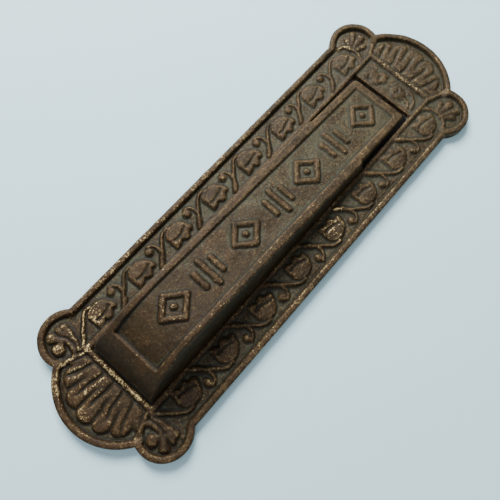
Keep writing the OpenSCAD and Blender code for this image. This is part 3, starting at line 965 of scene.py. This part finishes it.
class FlapShape:
    """The flap's outer form and relief, from its sizes in millimetres."""

    def __init__(self, sizes):
        for key in FlapSizes.__annotations__:
            setattr(self, key, getattr(sizes, key) / MM)
        self.draft = (self.base_half - self.crown_half) / (self.crown_depth - self.base_depth)

    def profile(self, inset, step):
        """(depth, z) points from the tail's back edge over the front to the nose's foot."""
        corner = 1.2
        top, bottom = FLAP_TOP - inset, FLAP_BOTTOM + self.foot_clear + inset
        front = self.top_depth - inset
        crown, start = self.crown_depth - inset, self.nose_start
        line = [(self.tail_depth, top), (front - corner, top)]
        line += [(front - corner + corner * math.sin(t), top - corner + corner * math.cos(t))
                 for t in np.linspace(0.2, math.pi / 2, 5)]
        line += [(crown, start)]
        line += [(self.base_depth + (crown - self.base_depth) * math.cos(t),
                  start - (start - bottom) * math.sin(t)) for t in np.linspace(0.03, math.pi / 2, 48)]
        line = np.array(line)
        gone = np.concatenate([[0], np.cumsum(np.linalg.norm(np.diff(line, axis=0), axis=1))])
        at = np.linspace(0, gone[-1], round(gone[-1] / step) + 1)
        return np.c_[np.interp(at, gone, line[:, 0]), np.interp(at, gone, line[:, 1])]

    def half_width(self, depth, z):
        """Half width of the drafted sides, narrower beside the tail."""
        drafted = self.base_half - self.draft * (depth - self.base_depth)
        share = np.clip((self.shoulder + 3.5 - z) / 3.5, 0, 1)
        tail = self.tail_half + (self.base_half - self.tail_half + 0.6) * share
        bend = 2.2
        rounding = bend - np.sqrt(np.clip(bend**2 - np.clip(z - FLAP_TOP + bend, 0, bend) ** 2, 0, None))
        return np.minimum(drafted, tail) - rounding

    def base(self, z):
        """Depth of the flap's back edge."""
        return np.where(z > self.shoulder + 4, self.tail_depth, self.base_depth)

    def relief(self, x, z):
        """Height of the border, field and signs on the front."""
        middle = (self.field_top + self.field_bottom) / 2
        corner, half = 0.6, (self.field_top - self.field_bottom) / 2
        field = slab(x, z, 0, middle, self.field_half - corner, half - corner) - corner
        high = -(self.field_sink + 0.15 + 0.5 * ease((-58 - z) / 22)) * ease(-field / 0.45 + 0.5)
        wx, wz = x + 0.22 * swell(x, z, 2.6, 81), z + 0.22 * swell(x, z, 2.6, 82)
        sign = np.full(x.shape, 9.0)
        for k, centre in enumerate(SIGN_HEIGHTS):
            v = wz - centre
            if k % 2 == 0:
                ring = [(6.2, 0), (0, 7.4), (-6.2, 0), (0, -7.4), (6.2, 0)]
                sign = np.minimum(sign, stroke(wx, v, ring, 1.35, 1.35))
                sign = np.minimum(sign, np.hypot(wx, v) - 1.5)
            else:
                for lift, half in ((-5.2, 3.6), (0, 6.2), (5.2, 3.6)):
                    sign = np.minimum(sign, stroke(wx, v, [(-half, lift), (half, lift)], 1.4, 1.4))
        return high + (self.field_sink + 0.25) * dome(sign, 1.2) + 0.1 * swell(x, z, 5, 83)


def flap_sheet(shape, inset, step, across, walls, relief):
    """One skin of the flap as rows of points: up one side, over the front and down the other."""
    line = shape.profile(inset, step)
    ahead = np.gradient(line, axis=0)
    ahead /= np.linalg.norm(ahead, axis=1)[:, None]
    outward = np.c_[-ahead[:, 1], ahead[:, 0]]
    rows = []
    for (depth, z), (out_depth, out_z) in zip(line, outward):
        base = min(float(shape.base(z)), depth)
        foot = FOOT_BEAD * math.exp(-(((depth - base - 4.0) / 1.6) ** 2)) if z < shape.nose_start else 0
        corner = min(shape.corner if not inset else 0.8, 0.5 * (depth - base) + 1e-4)
        climb = np.linspace(base, depth - corner, walls)
        side = np.c_[-(shape.half_width(climb, z) - inset), climb, np.full(walls, z)]
        edge = float(shape.half_width(depth, z)) - inset
        turn = np.linspace(0, math.pi / 2, 6)[1:]
        flank = edge - corner
        bend = np.c_[-flank - corner * np.cos(turn), depth - corner + corner * np.sin(turn), np.full(5, z)]
        flat_x = np.linspace(-flank, flank, across)[1:-1]
        flat = np.c_[flat_x, np.full(across - 2, depth), np.full(across - 2, z)]
        half = np.concatenate([side, bend])
        other = half[::-1] * (-1, 1, 1)
        row = np.concatenate([half, flat, other])
        if relief:
            front = slice(walls - 1, len(row) - walls + 1)
            x = row[front, 0]
            lift = shape.relief(x, np.full(x.shape, z)) * np.clip((depth - base) / 2, 0, 1) + foot
            row[front, 1] += lift * out_depth
            row[front, 2] += lift * out_z
        rows.append(row)
    return np.array(rows)


def flap_shells(shape):
    """The flap's hollow casting: outer skin, inner skin and the edge between them, with the two ears."""
    outer = flap_sheet(shape, 0, 0.42, 70, 22, True)
    inner = flap_sheet(shape, shape.wall, 1.6, 12, 8, False)
    rough = cast_skin(outer[:, :, 2], outer[:, :, 1] + outer[:, :, 0], 9)
    outward = np.sign(outer[:, :, 0]) * (np.abs(outer[:, :, 0]) > 13.5)
    outer[:, :, 0] += rough * outward
    outer[:, :, 1] += rough * (outward == 0)
    outer[:, 1:-1, 1] = np.maximum(outer[:, 1:-1, 1], shape.tail_depth)
    points, loops, faces, first = [], [], [], 0
    for sheet, flip in ((outer, False), (inner, True)):
        n, m = sheet.shape[:2]
        number = np.arange(n * m).reshape(n, m) + first
        quads = np.stack([number[:-1, :-1], number[1:, :-1], number[1:, 1:], number[:-1, 1:]], 2)
        quads = quads.reshape(-1, 4)
        faces += (quads[:, [0, 3, 2, 1]] if flip else quads).tolist()
        sides = (number[:, 0], number[-1, 1:], number[-2::-1, -1], number[0, -2:0:-1])
        loops.append(np.concatenate(sides).tolist())
        points.append(sheet.reshape(-1, 3) * (1, -1, 1))
        first += n * m
    points = np.concatenate(points)
    faces += zip_loops(points, loops[0], loops[1])
    parts = [(points, faces)]
    for side in (-1, 1):
        start, end = sorted((side * EAR_INNER, side * EAR_OUTER))
        parts.append(pin_carrier(start, end, EAR_ROOT, PIN_RADIUS + EAR_GAP))
    return parts


# ---------- hinge hardware ----------


def hinge_pin_shell():
    """A turned pin with bevelled ends."""
    half, r = PIN_HIGH.x, PIN_RADIUS
    right = [(half - 6.5, r), (half - 2.2, r), (half - 0.45, r),
             (half - 0.12, r - 0.25), (half, r - 0.5), (half, 0.01)]
    left = [(-x, radius) for x, radius in reversed(right)]
    return lathe(left + right, 48, (0, PIN_Y, PIN_Z), "X")


def washer_shell(node):
    """A flat washer with soft edges, as large as its CAD node."""
    low, high = (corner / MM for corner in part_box(node))
    outer, inner, soft = (high.z - low.z) / 2, PIN_RADIUS + WASHER_GAP, 0.15
    loop = [(low.x, inner + soft), (low.x, outer - soft), (low.x + soft, outer), (high.x - soft, outer),
            (high.x, outer - soft), (high.x, inner + soft), (high.x - soft, inner), (low.x + soft, inner)]
    return lathe(loop + loop[:1], 56, (0, PIN_Y, PIN_Z), "X")


def split_pin_shells(node):
    """A split pin: one bent wire with an eye above the hinge pin and two spread legs below."""
    low, high = (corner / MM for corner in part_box(node))
    x, wire = (low.x + high.x) / 2, 0.3
    gap, eye_r = 0.26, 1.05
    eye_z, below = high.z - wire - eye_r, PIN_Z - PIN_RADIUS
    leg = [(gap, eye_z - eye_r - 0.4), (gap, PIN_Z), (gap, below - 0.5), (0.6, below - 1.2),
           (1.25, low.z + wire)]
    eye = [(eye_r * math.sin(t), eye_z - eye_r * math.cos(t)) for t in np.linspace(0.6, math.pi, 10)]
    right = list(reversed(leg)) + eye
    path = right + [(-y, z) for y, z in reversed(right[:-1])]
    return sweep([(x, PIN_Y + y, z) for y, z in path], wire, 12)


SPRING_TURNS = 7
WIRE_RADIUS = 0.45
COIL_RADIUS = PIN_RADIUS + 0.5 + 2 * WIRE_RADIUS
COIL_PITCH = 2 * WIRE_RADIUS + 0.25
COIL_START = -SPRING_TURNS * COIL_PITCH / 2
COIL_END = COIL_START + COIL_PITCH * SPRING_TURNS


def spring_path():
    """The spring's wire: a leg under the flap's tail, the coil, and a leg into the plate beside the slot."""
    leg_y, leg_z, leg_end = -0.6, PIN_Z - 10.4, 18.5
    upper = [(COIL_START - 0.3, -5.6, PIN_Z + 11), (COIL_START - 0.2, -3.6, PIN_Z + 7),
             (COIL_START - 0.1, -1.2, PIN_Z + 3)]
    steps, coil = 32, []
    for k in range(steps * SPRING_TURNS + 1):
        turn = 2 * math.pi * k / steps
        coil.append((COIL_START + COIL_PITCH * k / steps, PIN_Y - COIL_RADIUS * math.cos(turn),
                     PIN_Z - COIL_RADIUS * math.sin(turn)))
    lower = [(COIL_END + 0.1, PIN_Y - COIL_RADIUS - 0.1, PIN_Z - 3), (COIL_END + 0.5, -0.3, PIN_Z - 7),
             (COIL_END + 1.2, leg_y, leg_z + 1), (COIL_END + 2.4, leg_y, leg_z + 0.1),
             (COIL_END + 4, leg_y, leg_z), (leg_end, leg_y, leg_z)]
    return upper + coil + lower


# Pale metal where hands and weather have rubbed the castings, and partly painted highlight: the spots on the
# plate's lower left, where light falls from the left, and along the flap's foot lip. Each gives x, z, reach
# across, reach up and strength. A strength below nothing takes earlier rubbing away.
WORN_AND_LIT_PLATE = (
    (0, -96.5, 17, 2.4, 0.75), (-19.5, -97, 4, 4, 1.0), (-21, -105, 3, 6, 0.9), (-19, -115, 10, 5, 0.7),
    (-28.4, -103.3, 3, 3, 0.6), (-27, -84, 6, 7, 0.85), (-25, -93, 6, 6, 0.8), (-8, -106, 9, 8, 0.55),
    (-15, -105, 3, 6, 0.85), (-4, -104, 3, 5, 0.8), (0, -116, 6, 3, 0.6), (8, -108, 4, 6, 0.55),
    (-30, -98, 8, 2.5, 0.4), (27, 15, 6, 7, 0.85), (27, -10, 5, 6, 0.4), (27, 62, 5, 6, 0.35),
    (24, -31, 6, 5, 0.3), (20, 24, 3, 4, 0.6), (27, 38, 5, 6, 0.4), (0, 100, 19, 2.5, 0.55),
    (-28, 97, 7, 8, 0.7), (0, 106, 18, 5, 0.5), (-34.5, 0, 2.5, 70, 0.25), (34, 10, 2, 60, 0.3),
    (-35, -60, 2.5, 40, 0.35),
)
WORN_AND_LIT_FLAP = (
    (0, -92.6, 17, 0.9, 0.5), (-2, -60, 10, 9, 0.3), (4, -20, 8, 50, 0.2), (0, 14, 9, 58, -0.5),
    (13.2, 0, 1.5, 75, 0.4), (-13.2, 10, 1.2, 75, 0.15),
)


# The pale surface and the hole in it behind the slot, and a near-black panel seen through the hole, which
# paints the shade inside the slot.
SURFACE_BEHIND, HOLE_HALF, HOLE_LOW, HOLE_HIGH = 0.3, 24.0, -91.0, 87.0
SHADE_PANEL_BEHIND, SHADE_PANEL_HALF, SHADE_PANEL_REACH = 34, 70, 130
ROOM_TONE, ROOM_STRENGTH = srgb(214, 222, 230), 0.36

# Where the camera stands, and how far it is turned left, up and round, in degrees.
CAMERA_PLACE = (39.9, -225.2 - RIM_DEPTH, -71.5)
CAMERA_TURNS = (9.058, 13.162, 42.612)


def rectangle(y, half_x, low, high):
    """The corners of an upright rectangle, at y behind the door's face."""
    return [(x, y, z) for x, z in ((-half_x, low), (half_x, low), (half_x, high), (-half_x, high))]


# ---------- operators ----------


class LETTERPLATE_OT_camera(bpy.types.Operator):
    """Place the camera below and to the right, looking up at the plate and tilted"""

    bl_idname = "letterplate.camera"
    bl_label = "Camera"

    def execute(self, context):
        look = context.scene.letterplate_stage
        data = bpy.data.cameras.new("camera")
        data.lens = look.lens
        data.sensor_width = 36
        data.clip_start, data.clip_end = 0.01, 20
        camera = bpy.data.objects.new("camera", data)
        context.scene.collection.objects.link(camera)
        left, up, roll = (math.radians(angle) for angle in CAMERA_TURNS)
        aim = Matrix.Rotation(left, 4, "Z") @ Matrix.Rotation(math.pi / 2 + up, 4, "X")
        place = Matrix.Translation(Vector(CAMERA_PLACE) * MM)
        camera.matrix_world = place @ aim @ Matrix.Rotation(roll, 4, "Z")
        context.scene.camera = camera
        return {"FINISHED"}


class LETTERPLATE_OT_face_plate(bpy.types.Operator):
    """Model the face plate's casting"""

    bl_idname = "letterplate.face_plate"
    bl_label = "Face plate"

    def execute(self, context):
        scene = context.scene
        shape = PlateShape(scene.letterplate_plate)
        parts = [face_plate_shells(shape)]
        for side in (-1, 1):
            start, end = sorted((side * shape.tail_half, side * LUG_OUTER))
            parts.append(pin_carrier(start, end, LUG_ROOT, PIN_RADIUS + LUG_GAP))
        parts += [tapped_boss(BOSS_HEIGHT), tapped_boss(-BOSS_HEIGHT)]
        plate = joined("ornate_face_plate", parts)
        weather(plate, rubbed=WORN_AND_LIT_PLATE)
        finish = bronzed_iron("bronzed plate", scene.letterplate_finish, 1.0, 0.08)
        give(plate, finish, "plate", "face_plate")
        return {"FINISHED"}


class LETTERPLATE_OT_flap(bpy.types.Operator):
    """Model the flap's hollow casting"""

    bl_idname = "letterplate.flap"
    bl_label = "Letter flap"

    def execute(self, context):
        scene = context.scene
        flap = joined("hinged_letter_flap", flap_shells(FlapShape(scene.letterplate_flap)))
        weather(flap, rubbed=WORN_AND_LIT_FLAP)
        finish = bronzed_iron("bronzed flap", scene.letterplate_finish, 5.0, 0.2)
        give(flap, finish, "flap", "letter_flap")
        return {"FINISHED"}


class LETTERPLATE_OT_hardware(bpy.types.Operator):
    """Model the hinge pin, its washers and its split pins"""

    bl_idname = "letterplate.hardware"
    bl_label = "Hinge hardware"

    def execute(self, context):
        look = context.scene.letterplate_finish
        pin = joined("turned_hinge_pin", [hinge_pin_shell()])
        weather(pin, 3, 12)
        give(pin, old_steel("pin steel", look.steel, look, 11.0), "plate", "hinge_pin")
        washer_finish = old_steel("washer steel", look.steel, look, 12.0)
        split_finish = old_steel("split pin steel", look.steel, look, 13.0)
        for side in ("left", "right"):
            washer = joined(f"washer_{side}", [washer_shell(f"pin_washer_{side}")])
            weather(washer, 2, 6)
            give(washer, washer_finish, "plate", f"pin_washer_{side}")
            split = joined(f"bent_split_pin_{side}", [split_pin_shells(f"split_pin_{side}")])
            weather(split, 2, 6)
            give(split, split_finish, "plate", f"split_pin_{side}")
        return {"FINISHED"}


class LETTERPLATE_OT_spring(bpy.types.Operator):
    """Model the torsion spring, which winds up as the flap lifts"""

    bl_idname = "letterplate.spring"
    bl_label = "Flap spring"

    def execute(self, context):
        look = context.scene.letterplate_finish
        spring = joined("torsion_spring", [sweep(spring_path(), WIRE_RADIUS, 14)])
        weather(spring, 2, 8)
        give(spring, old_steel("blued spring", look.blued, look, 14.0), None, "flap_spring")
        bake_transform(spring)
        return {"FINISHED"}


class LETTERPLATE_OT_stage(bpy.types.Operator):
    """Set up the pale surface, the near-black panel of painted shade behind its hole, and the lights"""

    bl_idname = "letterplate.stage"
    bl_label = "Stage"

    def execute(self, context):
        scene = context.scene
        look = scene.letterplate_stage
        half = look.room * REACH_Z
        ring = rectangle(SURFACE_BEHIND, half, -half, half)
        ring += rectangle(SURFACE_BEHIND, HOLE_HALF, HOLE_LOW, HOLE_HIGH)
        sides = [(k, (k + 1) % 4, 4 + (k + 1) % 4, 4 + k) for k in range(4)]
        wall = new_object("pale_surface", ring, sides, smooth=False)
        # Near-black panel behind the hole: painted shade seen through the slot.
        dark = rectangle(SHADE_PANEL_BEHIND, SHADE_PANEL_HALF, -SHADE_PANEL_REACH, SHADE_PANEL_REACH)
        behind = new_object("painted_shade_panel", dark, [(0, 1, 2, 3)], smooth=False)
        shades = ((wall, look.backdrop, "pale surface"), (behind, srgb(8, 7, 6), "painted shade panel"))
        for made, tone, name in shades:
            if made.data.polygons[0].normal.y > 0:
                made.data.flip_normals()
            paint = Paint(name)
            mottle = paint.noise(60, 3, 0.5, 2.0)
            base = paint.mix(mottle * 0.12, tone, scaled(tone, 0.9))
            paint.set(Base_Color=base, Roughness=0.85, Specular_IOR_Level=0.2)
            made.data.materials.append(paint.seen_from_front())
            made.visible_shadow = False
        self.light("key_light", (-540, -640, 330), 480, look.key_power, (1.0, 0.99, 0.98))
        self.light("front_fill", (100, -800, -300), 800, look.fill_power, (0.95, 0.97, 1.0))
        self.light("back_light", (-300, 700, 350), 600, look.fill_power * 2.5, (1.0, 1.0, 1.0))
        world = bpy.data.worlds.new("pale room")
        world.use_nodes = True
        shade = world.node_tree.nodes["Background"]
        shade.inputs["Color"].default_value = (*ROOM_TONE, 1)
        shade.inputs["Strength"].default_value = ROOM_STRENGTH
        scene.world = world
        return {"FINISHED"}

    def light(self, name, place, size, power, tint):
        """A square soft light aimed at the plate's centre."""
        data = bpy.data.lights.new(name, "AREA")
        data.size = size * MM
        data.energy = power
        data.color = tint
        lamp = bpy.data.objects.new(name, data)
        bpy.context.scene.collection.objects.link(lamp)
        lamp.location = Vector(place) * MM
        lamp.rotation_mode = "QUATERNION"
        lamp.rotation_quaternion = (-lamp.location).to_track_quat("-Z", "Y")


class LETTERPLATE_PT_panel(bpy.types.Panel):
    """Lists the letter plate's pieces"""

    bl_label = "Letter plate"
    bl_idname = "LETTERPLATE_PT_panel"
    bl_space_type = "VIEW_3D"
    bl_region_type = "UI"
    bl_category = "Letter plate"

    def draw(self, context):
        for step in STEPS:
            self.layout.operator(step.bl_idname)
        for group in GROUPS:
            settings = getattr(context.scene, group)
            box = self.layout.box()
            box.label(text=type(settings).__doc__)
            for key in type(settings).__annotations__:
                box.prop(settings, key)


STEPS = (LETTERPLATE_OT_camera, LETTERPLATE_OT_stage, LETTERPLATE_OT_face_plate, LETTERPLATE_OT_flap,
         LETTERPLATE_OT_hardware, LETTERPLATE_OT_spring)
GROUPS = {"letterplate_plate": PlateSizes, "letterplate_flap": FlapSizes, "letterplate_finish": Finish,
          "letterplate_stage": StageLook}


def register():
    for made in (*GROUPS.values(), *STEPS, LETTERPLATE_PT_panel):
        bpy.utils.register_class(made)
    for name, group in GROUPS.items():
        setattr(bpy.types.Scene, name, PointerProperty(type=group))


def unregister():
    for name in GROUPS:
        delattr(bpy.types.Scene, name)
    for made in (LETTERPLATE_PT_panel, *reversed(STEPS), *reversed(GROUPS.values())):
        bpy.utils.unregister_class(made)


def main():
    register()
    for step in STEPS:
        area, name = step.bl_idname.split(".")
        getattr(getattr(bpy.ops, area), name)()


if __name__ == "__main__":
    main()
